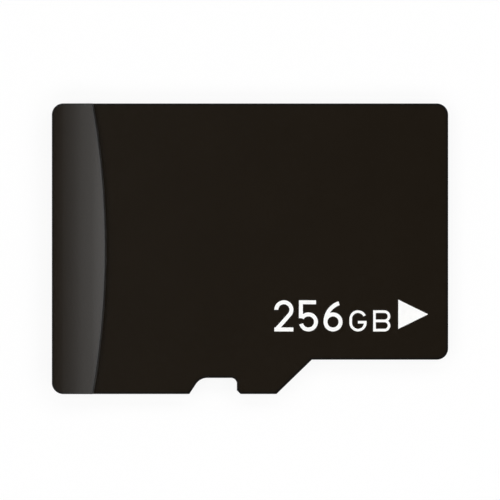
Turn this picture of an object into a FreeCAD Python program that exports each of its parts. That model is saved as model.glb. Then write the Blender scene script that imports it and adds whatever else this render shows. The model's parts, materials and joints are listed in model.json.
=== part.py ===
# A thumbnail-size removable memory card, in millimetres.
# The card lies flat on its contact side with the printed side up. X runs from the finger lip at the rear to
# the contact edge at the front, Y runs across the card with the notch on the -Y side, and Z is up.
# The origin is the middle of the card's outline, on the plane that the card rests on.

import FreeCAD
import Part
import Sketcher
import math
import os
import re

# Driving dimensions. Each one is a cell of the sheet, and every other size and place is worked out from them.
SIZES = {
    # outline
    "card_length": 15.0,
    "card_width": 11.0,
    "shoulder_step": 1.30,          # by which the front part is narrower than the card
    "shoulder_from_front": 5.16,    # where the narrow part ends
    "shoulder_run": 1.34,           # length of the slanted shoulder along X
    "corner_radius": 0.43,
    # latch notch in the long edge behind the shoulder
    "shoulder_land": 1.50,          # from the shoulder to the upright wall of the notch
    "notch_floor": 1.39,
    "notch_flare": 0.41,            # run of the slanted rear wall along X
    "notch_depth": 0.61,
    "notch_corner": 0.22,           # between the floor and the upright wall
    "notch_flare_round": 0.50,      # between the floor and the slanted rear wall
    "notch_lead": 0.14,             # chamfer at the mouth, on the front side
    # section
    "card_thickness": 0.70,
    "board_thickness": 0.20,
    "edge_round": 0.025,            # all moulded edges of the printed side
    "bevel_length": 0.35,           # lead-in under the contact edge
    "bevel_height": 0.14,
    # finger lip at the rear
    "lip_length": 2.04,             # at the middle of the card
    "lip_foot": 0.105,              # from the printed face up to the scooped top, at the rear edge
    "lip_rise": 0.20,               # of the scooped top, from the rear edge to the ridge
    "lip_bow_radius": 31.5,         # of the ridge, seen from above
    # contacts, in a row that fills the narrow part
    "contact_margin": 0.60,         # from the narrow part's long edges to the row
    "contact_gap": 0.30,
    "contact_length": 2.90,
    "contact_from_front": 1.10,
    "contact_reach": 0.30,          # by which the two supply contacts run further forward
    "contact_corner": 0.15,
    "contact_thickness": 0.03,
    "contact_recess": 0.02,         # below the solder mask
    # memory dies, stacked with a step that leaves the pads of the lower one bare
    "die_side_wall": 0.90,          # moulding compound beside the dies
    "die_rear_wall": 0.80,
    "die_step": 0.50,
    "die_thickness": 0.10,
    "film_thickness": 0.02,
    # controller die ahead of them
    "controller_length": 2.20,
    "controller_width": 3.40,
    "controller_thickness": 0.15,
    "controller_shift": 0.90,       # from the middle of the narrow part, away from the notch
    # gold bonding
    "pad_inset": 0.12,              # from a die's edge to its row of bond pads
    "memory_pad_margin": 1.20,      # from a die's corner to its first pad
    "controller_pad_margin": 0.34,
    "bond_spacing": 0.08,           # between the two wires that share a pad
    "finger_length": 0.30,
    "finger_width": 0.12,
    "finger_thickness": 0.02,
    "finger_gap": 0.38,             # between a die's edge and its row of fingers
    "row_gap": 0.30,                # between two rows of fingers
    "wire_diameter": 0.025,
    "wire_loop": 0.06,              # height of a loop above the pad that it starts on
    "wire_lean": 0.03,              # by which a wire leans while it rises from its pad
    # capacitors beside the controller
    "capacitor_wall": 0.85,         # from the narrow part's edge to the first row
    "capacitor_gap": 0.35,
    "bulk_length": 1.00,
    "bulk_width": 0.50,
    "bypass_length": 0.60,
    "bypass_width": 0.30,
    "capacitor_height": 0.30,
    "terminal_length": 0.14,
    "terminal_step": 0.01,          # by which the terminals stand proud of the ceramic
    # white print
    "ink_thickness": 0.01,
    "arrow_from_front": 0.76,
    "arrow_length": 1.13,
    "arrow_width": 1.11,
    "arrow_margin": 1.72,           # from the narrow part's edge to the middle of the arrow
    "print_margin": 1.07,           # from the narrow part's edge to the foot of the figures
    "arrow_gap": 0.30,              # between the arrow and the unit
    "unit_gap": 0.26,               # between the unit and the figures
    "figure_height": 1.18,
    "figure_width": 0.72,
    "figure_gap": 0.21,
    "figure_pen": 0.15,
    "letter_height": 0.80,
    "letter_width": 0.65,
    "letter_gap": 0.25,
    "letter_pen": 0.10,
}
CONTACTS = 8
SUPPLY_CONTACTS = (4, 6)
MEMORY_WIRES = 14
CONTROLLER_WIRES = 9
WIRE_SIDES = 6
FULL_TURN = 360
SAME_PLACE = 1e-6
PARTS_FOLDER = "parts"

# Places that several pieces share, as expressions in the sheet's names.
FRONT = "card_length / 2"
REAR = "-card_length / 2"
PLAIN_SIDE = "card_width / 2"
NOTCH_SIDE = "-card_width / 2"
NARROW_SIDE = f"{NOTCH_SIDE} + shoulder_step"
SHOULDER_FRONT = f"{FRONT} - shoulder_from_front"
SHOULDER_REAR = f"{SHOULDER_FRONT} - shoulder_run"
RIDGE = f"{REAR} + lip_length"
LIP_TOP = "card_thickness + lip_foot + lip_rise"
CONTACT_PITCH = f"(card_width - shoulder_step - 2 * contact_margin + contact_gap) / {CONTACTS}"
DIE_LOW_SIDE = f"{NOTCH_SIDE} + notch_depth + die_side_wall"
DIE_WIDTH = "(card_width - notch_depth - 2 * die_side_wall)"
UPPER_REAR = f"{REAR} + die_rear_wall"
UPPER_FRONT = f"{SHOULDER_REAR} - die_step"
LOWER_TOP = "board_thickness + film_thickness + die_thickness"
UPPER_TOP = f"{LOWER_TOP} + film_thickness + die_thickness"
MEMORY_FINGERS = f"{SHOULDER_REAR} + finger_gap"
REAR_FINGERS = f"{MEMORY_FINGERS} + finger_length + row_gap"
CONTROLLER_REAR = f"{REAR_FINGERS} + finger_length + finger_gap"
CONTROLLER_FRONT = f"{CONTROLLER_REAR} + controller_length"
FRONT_FINGERS = f"{CONTROLLER_FRONT} + finger_gap"
CONTROLLER_LOW_SIDE = "(shoulder_step - controller_width) / 2 + controller_shift"
CONTROLLER_TOP = "board_thickness + film_thickness + controller_thickness"
FINGER_TOP = "board_thickness + finger_thickness"

doc = FreeCAD.newDocument("memory_card")
sheet = doc.addObject("Spreadsheet::Sheet", "Sizes")
for row, (alias, value) in enumerate(SIZES.items(), start=1):
    sheet.set(f"A{row}", alias)
    sheet.set(f"B{row}", str(value))
    sheet.setAlias(f"B{row}", alias)
doc.recompute()


def linked(expression):
    """The expression with each of the sheet's names written as another object has to write it."""
    return re.sub("|".join(rf"\b{alias}\b" for alias in SIZES), r"Sizes.\g<0>", expression)


def size(expression):
    """What the expression comes to with the sheet's present values."""
    return float(sheet.evalExpression(expression))


# Sketches and features


def arc_between(start, end, radius, side):
    """An arc that bows to the right (side 1) or the left (side -1) of the straight line from start to end."""
    chord = end - start
    outward = FreeCAD.Vector(chord.y, -chord.x, 0).normalize() * side
    sagitta = radius - math.sqrt(radius ** 2 - chord.Length ** 2 / 4)
    return Part.Arc(start, (start + end) * 0.5 + outward * sagitta, end)


def bind(sketch, constraint, expression):
    """Adds a dimension to a sketch and ties it to the sheet."""
    index = sketch.addConstraint(constraint)
    sketch.setExpression(f"Constraints[{index}]", linked(expression))


def end_at(sketch, edge, point):
    """Which end of a sketch edge lies at the point: 1 for its start and 2 for its end."""
    return min((1, 2), key=lambda end: (sketch.getPoint(edge, end) - point).Length)


def add_loop(sketch, corners):
    """Adds one closed loop of edges to a sketch and ties every corner to the sheet.

    A corner is a pair of expressions. A third expression makes the edge that leaves the corner an arc of
    that radius, and a fourth item says to which side of the straight edge the arc bows.
    """
    points = [FreeCAD.Vector(size(corner[0]), size(corner[1]), 0) for corner in corners]
    for i, corner in enumerate(corners):
        start = points[i]
        end = points[(i + 1) % len(points)]
        if len(corner) == 2:
            sketch.addGeometry(Part.LineSegment(start, end))
        else:
            sketch.addGeometry(arc_between(start, end, size(corner[2]), corner[3]))
    for edge, corner in enumerate(corners):
        point = points[edge]
        before = (edge - 1) % len(corners)
        here = end_at(sketch, edge, point)
        there = end_at(sketch, before, point)
        sketch.addConstraint(Sketcher.Constraint("Coincident", before, there, edge, here))
        bind(sketch, Sketcher.Constraint("DistanceX", -1, 1, edge, here, point.x), corner[0])
        bind(sketch, Sketcher.Constraint("DistanceY", -1, 1, edge, here, point.y), corner[1])
        if len(corner) > 2:
            bind(sketch, Sketcher.Constraint("Radius", edge, size(corner[2])), corner[2])


def profile(body, name, role, corners, lift="0"):
    """A sketch of one closed loop on one of the body's origin planes, raised from it by lift."""
    sketch = body.newObject("Sketcher::SketchObject", name)
    plane = next(feature for feature in body.Origin.OriginFeatures if feature.Role == role)
    sketch.AttachmentSupport = [(plane, "")]
    sketch.MapMode = "FlatFace"
    sketch.setExpression("AttachmentOffset.Base.z", linked(lift))
    add_loop(sketch, corners)
    doc.recompute()
    return sketch


def rounded_rectangle(low_x, low_y, length, width, radius):
    """The loop of a rectangle with rounded corners, anticlockwise."""
    high_x = f"{low_x} + {length}"
    high_y = f"{low_y} + {width}"
    return [
        (f"{low_x} + {radius}", low_y),
        (f"{high_x} - {radius}", low_y, radius, 1),
        (high_x, f"{low_y} + {radius}"),
        (high_x, f"{high_y} - {radius}", radius, 1),
        (f"{high_x} - {radius}", high_y),
        (f"{low_x} + {radius}", high_y, radius, 1),
        (low_x, f"{high_y} - {radius}"),
        (low_x, f"{low_y} + {radius}", radius, 1),
    ]


def pad(body, sketch, name, length, symmetric=False):
    """Builds a sketch up into a solid, or to both sides of the sketch."""
    feature = body.newObject("PartDesign::Pad", name)
    feature.Profile = sketch
    feature.setExpression("Length", linked(length))
    if symmetric:
        feature.SideType = "Symmetric"
    doc.recompute()


def pocket(body, sketch, name, length, symmetric=False):
    """Cuts a sketch upwards out of the body, or to both sides of the sketch."""
    before = body.Shape.Volume
    feature = body.newObject("PartDesign::Pocket", name)
    feature.Profile = sketch
    feature.Reversed = not symmetric
    feature.setExpression("Length", linked(length))
    if symmetric:
        feature.SideType = "Symmetric"
    doc.recompute()
    if not body.Shape.Volume < before:
        raise RuntimeError(f"{name} cuts nothing")


def dress(body, kind, name, edges, amount):
    """A Fillet or a Chamfer on the given edges of the body's present shape."""
    if not edges:
        raise RuntimeError(f"{name} has no edge to work on")
    base = body.Tip
    feature = body.newObject(f"PartDesign::{kind}", name)
    feature.Base = (base, edges)
    feature.setExpression("Radius" if kind == "Fillet" else "Size", linked(amount))
    doc.recompute()


def edges_where(body, wanted):
    """The names of the body's edges that pass a test on their end points."""
    edges = enumerate(body.Shape.Edges, start=1)
    return [f"Edge{i}" for i, edge in edges if all(wanted(vertex.Point) for vertex in edge.Vertexes)]


def upright_edges(body, *places):
    """The names of the body's upright edges at the given places."""
    found = []
    for along, across in places:
        place = (size(along), size(across))
        found += edges_where(body, lambda end: math.dist((end.x, end.y), place) < SAME_PLACE)
    return found


def block(name, low, lengths):
    """A plain block from its low corner and its three lengths, all tied to the sheet."""
    box = doc.addObject("Part::Box", name)
    for axis, place in zip("xyz", low):
        box.setExpression(f"Placement.Base.{axis}", linked(place))
    for side, length in zip(("Length", "Width", "Height"), lengths):
        box.setExpression(side, linked(length))
    return box


def group(name, members):
    """Several separate solids as one piece."""
    compound = doc.addObject("Part::Compound", name)
    compound.Links = members
    return compound


# Outline that the cover and the board share


def card_plate(name, bottom, thickness):
    """A plate with the card's outline. Its notch and rounded corners come last."""
    body = doc.addObject("PartDesign::Body", name)
    outline = [
        (REAR, NOTCH_SIDE),
        (SHOULDER_REAR, NOTCH_SIDE),
        (SHOULDER_FRONT, NARROW_SIDE),
        (FRONT, NARROW_SIDE),
        (FRONT, PLAIN_SIDE),
        (REAR, PLAIN_SIDE),
    ]
    pad(body, profile(body, f"{name}_outline", "XY_Plane", outline, bottom), f"{name}_plate", thickness)
    return body


def cut_outline(body, bottom, height):
    """Cuts the latch notch and rounds the corners, from the bottom up through at least the given height."""
    name = body.Name
    wall = f"{SHOULDER_REAR} - shoulder_land"
    floor_rear = f"{wall} - notch_floor"
    floor = f"{NOTCH_SIDE} + notch_depth"
    notch = [
        (f"{floor_rear} - notch_flare", NOTCH_SIDE),
        (wall, NOTCH_SIDE),
        (wall, floor),
        (floor_rear, floor),
    ]
    pocket(body, profile(body, f"{name}_notch", "XY_Plane", notch, bottom), f"{name}_notch_cut", height)
    dress(body, "Fillet", f"{name}_notch_round", upright_edges(body, (wall, floor)), "notch_corner")
    dress(body, "Fillet", f"{name}_flare", upright_edges(body, (floor_rear, floor)), "notch_flare_round")
    dress(body, "Chamfer", f"{name}_notch_mouth", upright_edges(body, (wall, NOTCH_SIDE)), "notch_lead")
    card_corners = ((REAR, NOTCH_SIDE), (FRONT, NARROW_SIDE), (FRONT, PLAIN_SIDE), (REAR, PLAIN_SIDE))
    dress(body, "Fillet", f"{name}_corners", upright_edges(body, *card_corners), "corner_radius")


# Moulded cover, before the inner pieces are taken out of it


def add_lip(body):
    """The finger lip: a scooped ramp that rises from the rear edge and ends at a bowed wall."""
    spare = "lip_length / 4"
    foot = "card_thickness + lip_foot"
    scoop = "(lip_length ^ 2 + lip_rise ^ 2) / (2 * lip_rise)"
    crest = f"{foot} + {scoop} - sqrt(({scoop}) ^ 2 - (lip_length + {spare}) ^ 2)"
    ramp = [
        (REAR, "card_thickness"),
        (f"{RIDGE} + {spare}", "card_thickness"),
        (f"{RIDGE} + {spare}", crest, scoop, -1),
        (REAR, foot),
    ]
    pad(body, profile(body, "lip_section", "XZ_Plane", ramp), "lip_ramp", "card_width", symmetric=True)
    side = f"({PLAIN_SIDE} + {spare})"
    bow_end = f"{RIDGE} - lip_bow_radius + sqrt(lip_bow_radius ^ 2 - {side} ^ 2)"
    ahead = [
        (FRONT, f"-{side}"),
        (FRONT, side),
        (bow_end, side, "lip_bow_radius", -1),
        (bow_end, f"-{side}"),
    ]
    wall = profile(body, "lip_bow", "XY_Plane", ahead, "card_thickness")
    pocket(body, wall, "lip_wall", LIP_TOP)


def make_cover_blank():
    """The moulded block with its lip, its notch and its rounded edges."""
    body = card_plate("cover_blank", "board_thickness", "card_thickness - board_thickness")
    add_lip(body)
    cut_outline(body, "board_thickness", LIP_TOP)
    face = size("card_thickness")
    printed_side = edges_where(body, lambda end: end.z > face - size("edge_round") / 2)
    dress(body, "Fillet", "cover_edges", printed_side, "edge_round")
    return body


# Board and contacts


def contact_loop(i):
    """The outline of the i-th contact and of its window, counted from the notch side."""
    reach = "contact_reach" if i + 1 in SUPPLY_CONTACTS else "0"
    low_x = f"{FRONT} - contact_from_front - contact_length"
    low_y = f"{NARROW_SIDE} + contact_margin + {i} * {CONTACT_PITCH}"
    width = f"{CONTACT_PITCH} - contact_gap"
    return rounded_rectangle(low_x, low_y, f"contact_length + {reach}", width, "contact_corner")


def make_board():
    """The board, with the lead-in under its contact edge and a window for each contact."""
    body = card_plate("circuit_board", "0", "board_thickness")
    cut_outline(body, "0", "board_thickness")
    lead_in = [
        (f"{FRONT} - bevel_length", "0"),
        (FRONT, "0"),
        (FRONT, "bevel_height"),
    ]
    bevel = profile(body, "bevel_section", "XZ_Plane", lead_in)
    pocket(body, bevel, "bevel_cut", "2 * card_width", symmetric=True)
    for i in range(CONTACTS):
        window = profile(body, f"window_{i + 1}", "XY_Plane", contact_loop(i))
        pocket(body, window, f"window_cut_{i + 1}", "contact_recess + contact_thickness")
    return body


def make_contact(i):
    """A gold plate in its window, a little below the solder mask."""
    body = doc.addObject("PartDesign::Body", f"contact_{i + 1}")
    sketch = profile(body, f"{body.Name}_outline", "XY_Plane", contact_loop(i), "contact_recess")
    pad(body, sketch, f"{body.Name}_plate", "contact_thickness")
    return body


# Dies and their films


def make_die(name, low_x, low_y, seat, lengths):
    """A die and the film that holds it to its seat."""
    film = block(f"{name}_film", (low_x, low_y, seat), (*lengths[:2], "film_thickness"))
    return [film, block(name, (low_x, low_y, f"{seat} + film_thickness"), lengths)]


def make_dies():
    """Two memory dies of one size and the controller, each on a film of its own outline."""
    memory = (f"{UPPER_FRONT} - ({UPPER_REAR})", DIE_WIDTH, "die_thickness")
    controller = ("controller_length", "controller_width", "controller_thickness")
    made = make_die("lower_memory_die", f"{UPPER_REAR} + die_step", DIE_LOW_SIDE, "board_thickness", memory)
    made += make_die("upper_memory_die", UPPER_REAR, DIE_LOW_SIDE, LOWER_TOP, memory)
    made += make_die("controller_die", CONTROLLER_REAR, CONTROLLER_LOW_SIDE, "board_thickness", controller)
    return made


# Gold fingers and wires


def memory_row(i):
    """The place across the card of the i-th wire of the memory dies."""
    pitch = f"({DIE_WIDTH} - 2 * memory_pad_margin) / {MEMORY_WIRES - 1}"
    return f"{DIE_LOW_SIDE} + memory_pad_margin + {i} * {pitch}"


def controller_row(i):
    """The place across the card of the i-th wire of the controller."""
    pitch = f"(controller_width - 2 * controller_pad_margin) / {CONTROLLER_WIRES - 1}"
    return f"{CONTROLLER_LOW_SIDE} + controller_pad_margin + {i} * {pitch}"


def finger_row(name, low_x, places):
    """A row of fingers on the board, each centred on its place across the card."""
    lengths = ("finger_length", "finger_width", "finger_thickness")
    return [
        block(f"{name}_{i + 1}", (low_x, f"{place} - finger_width / 2", "board_thickness"), lengths)
        for i, place in enumerate(places)
    ]


def ring_on_plane(ring, direction, point, normal):
    """Carries a ring of points along a direction until they lie in a plane."""
    return [p + direction * ((point - p).dot(normal) / direction.dot(normal)) for p in ring]


def wire_solid(points):
    """A wire with a many-sided section along straight runs, cut level where it is bonded."""
    up = FreeCAD.Vector(0, 0, 1)
    runs = [(b - a).normalize() for a, b in zip(points, points[1:])]
    planes = [up] + [(a + b).normalize() for a, b in zip(runs, runs[1:])] + [up]
    across = FreeCAD.Vector(0, 1, 0)
    beside = runs[0].cross(across)
    radius = size("wire_diameter / 2")
    turns = [2 * math.pi * k / WIRE_SIDES for k in range(WIRE_SIDES)]
    ring = [points[0] + (across * math.cos(turn) + beside * math.sin(turn)) * radius for turn in turns]
    rings = []
    for direction, point, normal in zip([runs[0]] + runs, points, planes):
        ring = ring_on_plane(ring, direction, point, normal)
        rings.append(ring)
    outlines = [rings[0], rings[-1]]
    for low, high in zip(rings, rings[1:]):
        outlines += [[low[k - 1], low[k], high[k], high[k - 1]] for k in range(WIRE_SIDES)]
    faces = [Part.Face(Part.makePolygon(outline + outline[:1])) for outline in outlines]
    solid = Part.makeSolid(Part.makeShell(faces))
    if solid.Volume < 0:
        solid.reverse()
    return solid


def bond_wire(start, end, place):
    """A wire from a pad over the edge of its die to a lower pad or a finger.

    start and end are pairs of expressions for a place along the card and a height.
    """
    toward = math.copysign(1, size(end[0]) - size(start[0]))
    lean = toward * size("wire_lean")
    past_edge = toward * size("2 * pad_inset")
    along = size(start[0])
    loop = size(f"{start[1]} + wire_loop")
    path = [
        (along, size(start[1])),
        (along + lean, loop),
        (along + past_edge, loop),
        (size(end[0]), size(end[1])),
    ]
    return wire_solid([FreeCAD.Vector(x, size(place), z) for x, z in path])


def plain_piece(name, solids):
    """Several solids that are made point by point, as one piece."""
    feature = doc.addObject("Part::Feature", name)
    feature.Shape = Part.makeCompound(solids)
    return feature


def make_bonding():
    """The fingers on the board, and the wires from die to die and from the dies to the fingers."""
    memory_rows = [memory_row(i) for i in range(MEMORY_WIRES)]
    controller_rows = [controller_row(i) for i in range(CONTROLLER_WIRES)]
    upper_pad = (f"{UPPER_FRONT} - pad_inset", UPPER_TOP)
    stitch_pad = (f"{SHOULDER_REAR} - pad_inset - bond_spacing / 2", LOWER_TOP)
    lower_pad = (f"{SHOULDER_REAR} - pad_inset + bond_spacing / 2", LOWER_TOP)
    memory_finger = (f"{MEMORY_FINGERS} + finger_length / 2", FINGER_TOP)
    rear_pad = (f"{CONTROLLER_REAR} + pad_inset", CONTROLLER_TOP)
    rear_finger = (f"{REAR_FINGERS} + finger_length / 2", FINGER_TOP)
    front_pad = (f"{CONTROLLER_FRONT} - pad_inset", CONTROLLER_TOP)
    front_finger = (f"{FRONT_FINGERS} + finger_length / 2", FINGER_TOP)
    stitch_wires = [bond_wire(upper_pad, stitch_pad, place) for place in memory_rows]
    memory_wires = [bond_wire(lower_pad, memory_finger, place) for place in memory_rows]
    rear_wires = [bond_wire(rear_pad, rear_finger, place) for place in controller_rows]
    front_wires = [bond_wire(front_pad, front_finger, place) for place in controller_rows]
    controller_fingers = finger_row("rear_finger", REAR_FINGERS, controller_rows)
    controller_fingers += finger_row("front_finger", FRONT_FINGERS, controller_rows)
    return [
        group("memory_bond_fingers", finger_row("memory_finger", MEMORY_FINGERS, memory_rows)),
        group("controller_bond_fingers", controller_fingers),
        plain_piece("memory_stitch_wires", stitch_wires),
        plain_piece("memory_bond_wires", memory_wires),
        plain_piece("controller_bond_wires", rear_wires + front_wires),
    ]


# Capacitors


def make_capacitor(name, low_x, low_y, length, width):
    """A ceramic block between two metal terminals that stand a little proud of it."""
    seat = "board_thickness"
    corner = (f"{low_x} + terminal_length", f"{low_y} + terminal_step", f"{seat} + terminal_step")
    lengths = [f"{length} - 2 * terminal_length"]
    lengths += [f"{side} - 2 * terminal_step" for side in (width, "capacitor_height")]
    end_lengths = ("terminal_length", width, "capacitor_height")
    far_end = f"{low_x} + {length} - terminal_length"
    terminals = [
        block(f"{name}_rear", (low_x, low_y, seat), end_lengths),
        block(f"{name}_front", (far_end, low_y, seat), end_lengths),
    ]
    return [block(name, corner, lengths), group(f"{name}_terminals", terminals)]


def make_capacitors():
    """Two rows beside the controller: the bulk capacitor and a bypass one, then two bypass ones."""
    low_row = f"{NARROW_SIDE} + capacitor_wall"
    high_row = f"{low_row} + bulk_width + capacitor_gap"
    bypass = ("bypass_length", "bypass_width")
    made = make_capacitor("bulk_capacitor", CONTROLLER_REAR, low_row, "bulk_length", "bulk_width")
    beside_bulk = f"{CONTROLLER_REAR} + bulk_length + capacitor_gap"
    beside_bypass = f"{CONTROLLER_REAR} + bypass_length + capacitor_gap"
    made += make_capacitor("bypass_capacitor_1", beside_bulk, low_row, *bypass)
    made += make_capacitor("bypass_capacitor_2", CONTROLLER_REAR, high_row, *bypass)
    made += make_capacitor("bypass_capacitor_3", beside_bypass, high_row, *bypass)
    return made


# White print


def bar(start, end, pen):
    """A straight pen stroke with flat ends."""
    first = FreeCAD.Vector(*start)
    last = FreeCAD.Vector(*end)
    along = (last - first).normalize()
    side = FreeCAD.Vector(-along.y, along.x) * (pen / 2)
    return Part.Face(Part.makePolygon([first - side, last - side, last + side, first + side, first - side]))


def bow(centre, radius, start, end, pen):
    """A round pen stroke with flat ends, anticlockwise from one angle in degrees to the other."""
    middle = FreeCAD.Vector(*centre)
    up = FreeCAD.Vector(0, 0, 1)
    outer = Part.makeCircle(radius + pen / 2, middle, up, start, end)
    inner = Part.makeCircle(radius - pen / 2, middle, up, start, end)
    if end - start == FULL_TURN:
        return Part.Face(Part.Wire(outer)).cut(Part.Face(Part.Wire(inner))).Faces[0]
    near, far = (Part.makeLine(inner.Vertexes[i].Point, outer.Vertexes[i].Point) for i in (0, 1))
    return Part.Face(Part.Wire([outer, far, inner, near]))


def figure_two(width, height, pen):
    radius = (width - pen) / 2
    centre = (width / 2, height - width / 2)
    foot = (pen / 2, pen / 2)
    toward_foot = math.atan2(foot[1] - centre[1], foot[0] - centre[0])
    leave = toward_foot + math.acos(radius / math.dist(foot, centre))
    neck = (centre[0] + radius * math.cos(leave), centre[1] + radius * math.sin(leave))
    past_foot = (2 * foot[0] - neck[0], 2 * foot[1] - neck[1])
    return [
        bow(centre, radius, math.degrees(leave), 180, pen),
        bar(neck, past_foot, pen),
        bar((0, pen / 2), (width, pen / 2), pen),
    ]


def figure_five(width, height, pen):
    radius = (width - pen) / 2
    bowl_end = -165
    bowl_top = 150
    stem_foot = width / 2 + radius * math.sin(math.radians(bowl_top))
    return [
        bar((0, height - pen / 2), (width - pen / 2, height - pen / 2), pen),
        bar((pen / 2, height), (pen / 2, stem_foot), pen),
        bow((width / 2, width / 2), radius, bowl_end, bowl_top, pen),
    ]


def figure_six(width, height, pen):
    radius = (width - pen) / 2
    back = height - (width + pen) / 2
    tip = 108
    return [
        bow((width / 2, width / 2), radius, 0, FULL_TURN, pen),
        bow((pen / 2 + back, width / 2), back, tip, 180, pen),
    ]


def letter_g(width, height, pen):
    radius = (width - pen) / 2
    waist = height / 2
    mouth = 25
    return [
        bow((width / 2, height - width / 2), radius, mouth, 180, pen),
        bar((pen / 2, height - width / 2), (pen / 2, width / 2), pen),
        bow((width / 2, width / 2), radius, 180, 360, pen),
        bar((width - pen / 2, width / 2), (width - pen / 2, waist), pen),
        bar((width / 2, waist - pen / 2), (width, waist - pen / 2), pen),
    ]


def letter_b(width, height, pen):
    radius = (height - pen) / 4
    belly = width - pen / 2 - radius
    strokes = [bar((pen / 2, 0), (pen / 2, height), pen)]
    strokes += [bar((0, pen / 2 + 2 * k * radius), (belly, pen / 2 + 2 * k * radius), pen) for k in range(3)]
    strokes += [bow((belly, pen / 2 + k * radius), radius, -90, 90, pen) for k in (1, 3)]
    return strokes


def print_glyph(strokes, width, height, low):
    """Joins pen strokes, trims them to the glyph's box and gives them the ink's thickness."""
    joined = strokes[0].fuse(strokes[1:]).common(Part.makePlane(width, height)).removeSplitter()
    joined.translate(low)
    return joined.Faces[0].extrude(FreeCAD.Vector(0, 0, size("ink_thickness")))


def make_capacity_print():
    """Three figures and a two-letter unit, set from right to left behind the arrow."""
    unit = (letter_b, letter_g)
    figures = (figure_six, figure_five, figure_two)
    right = size(f"{FRONT} - arrow_from_front - arrow_length - arrow_gap")
    foot = size(f"{NARROW_SIDE} + print_margin")
    face = size("card_thickness")
    solids = []
    for kind, glyphs in (("letter", unit), ("figure", figures)):
        width, height, pen, gap = (size(f"{kind}_{part}") for part in ("width", "height", "pen", "gap"))
        for glyph in glyphs:
            low = FreeCAD.Vector(right - width, foot, face)
            solids.append(print_glyph(glyph(width, height, pen), width, height, low))
            right -= width + gap
        right += gap - size("unit_gap")
    return plain_piece("capacity_print", solids)


def make_arrow_print():
    """The mark that says which end goes into the socket first."""
    body = doc.addObject("PartDesign::Body", "arrow_print")
    tip = f"{FRONT} - arrow_from_front"
    middle = f"{NARROW_SIDE} + arrow_margin"
    triangle = [
        (f"{tip} - arrow_length", f"{middle} - arrow_width / 2"),
        (tip, middle),
        (f"{tip} - arrow_length", f"{middle} + arrow_width / 2"),
    ]
    sketch = profile(body, "arrow_outline", "XY_Plane", triangle, "card_thickness")
    pad(body, sketch, "arrow_ink", "ink_thickness")
    return body


# The whole card


def make_card():
    """Makes all pieces. The compound flows around the inner ones, so the cover is cut by them."""
    board = make_board()
    contacts = [make_contact(i) for i in range(CONTACTS)]
    inner = make_dies() + make_bonding() + make_capacitors()
    filling = doc.addObject("Part::MultiFuse", "filling")
    filling.Shapes = inner
    cover = doc.addObject("Part::Cut", "moulded_cover")
    cover.Base = make_cover_blank()
    cover.Tool = filling
    pieces = [cover, board] + contacts + inner + [make_arrow_print(), make_capacity_print()]
    for made in pieces:
        made.Label = made.Name
    doc.recompute()
    return pieces


def write_parts(pieces):
    """Writes each piece's shape, once every object of the document has proved sound."""
    failed = [made.Name for made in doc.Objects if {"Invalid", "Error"} & set(made.State)]
    failed += [made.Label for made in pieces if made.Shape.isNull() or not made.Shape.isValid()]
    if failed:
        raise RuntimeError("unsound: " + ", ".join(failed))
    os.makedirs(PARTS_FOLDER, exist_ok=True)
    for made in pieces:
        made.Shape.exportStep(os.path.join(PARTS_FOLDER, f"{made.Label}.step"))
        print(f"{made.Label}: {len(made.Shape.Solids)} solids, {made.Shape.Volume:.4f} mm3")


write_parts(make_card())
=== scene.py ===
# %% [markdown]
# # A removable memory card on a white table
# The card is a thin black block with a finger lip at one end, gold contacts underneath and a little
# white print. Its pieces come from a CAD model at their real size, in metres. Blender leaves their
# shapes and places alone and gives them light, a camera and surfaces. We keep the size of the whole
# card from the start, to compare it at the end: what we add may hardly make the card bigger.

# %% Load the card
import bpy
import bmesh
import json
import math
from mathutils import Matrix, Vector


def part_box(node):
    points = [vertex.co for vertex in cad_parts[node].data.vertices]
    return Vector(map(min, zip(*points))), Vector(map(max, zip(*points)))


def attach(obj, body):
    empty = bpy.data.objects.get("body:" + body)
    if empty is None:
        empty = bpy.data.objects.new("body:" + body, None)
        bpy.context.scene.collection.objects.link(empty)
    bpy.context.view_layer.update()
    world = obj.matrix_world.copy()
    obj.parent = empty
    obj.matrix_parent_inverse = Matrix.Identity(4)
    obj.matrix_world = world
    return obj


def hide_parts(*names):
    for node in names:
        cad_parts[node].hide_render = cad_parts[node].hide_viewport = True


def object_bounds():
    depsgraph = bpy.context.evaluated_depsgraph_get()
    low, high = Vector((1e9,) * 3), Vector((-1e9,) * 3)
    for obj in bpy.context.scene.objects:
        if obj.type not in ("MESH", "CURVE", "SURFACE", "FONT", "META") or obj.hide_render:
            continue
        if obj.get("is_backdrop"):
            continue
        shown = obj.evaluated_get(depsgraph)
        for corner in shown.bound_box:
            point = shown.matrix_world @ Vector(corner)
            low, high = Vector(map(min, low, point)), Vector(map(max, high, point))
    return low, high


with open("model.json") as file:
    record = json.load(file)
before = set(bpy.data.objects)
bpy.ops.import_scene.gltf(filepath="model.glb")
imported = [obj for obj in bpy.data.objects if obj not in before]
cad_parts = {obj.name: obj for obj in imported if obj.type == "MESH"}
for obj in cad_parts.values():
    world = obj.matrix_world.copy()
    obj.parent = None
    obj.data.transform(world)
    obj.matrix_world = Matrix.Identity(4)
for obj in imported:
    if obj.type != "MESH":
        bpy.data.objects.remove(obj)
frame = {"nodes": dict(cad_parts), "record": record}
cad_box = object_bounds()
MM = 0.001
MICRON = 0.001 * MM
card_size = [round(side / MM, 2) for side in cad_box[1] - cad_box[0]]
print("pieces:", len(frame["nodes"]), "size in mm:", card_size)

# %% [markdown]
# ## The camera
# The picture was taken from straight above, so the card shows as a flat outline and its walls are
# hidden. A short lens would have to come close, and then the lip, which stands higher than the rest,
# would come out too large and the wall below its ridge would show. A long lens stands far away and
# sees almost parallel lines, so we take one. The ends of the card in the picture, in pixels, give
# the scale, and the scale gives the height of the camera.

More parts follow.
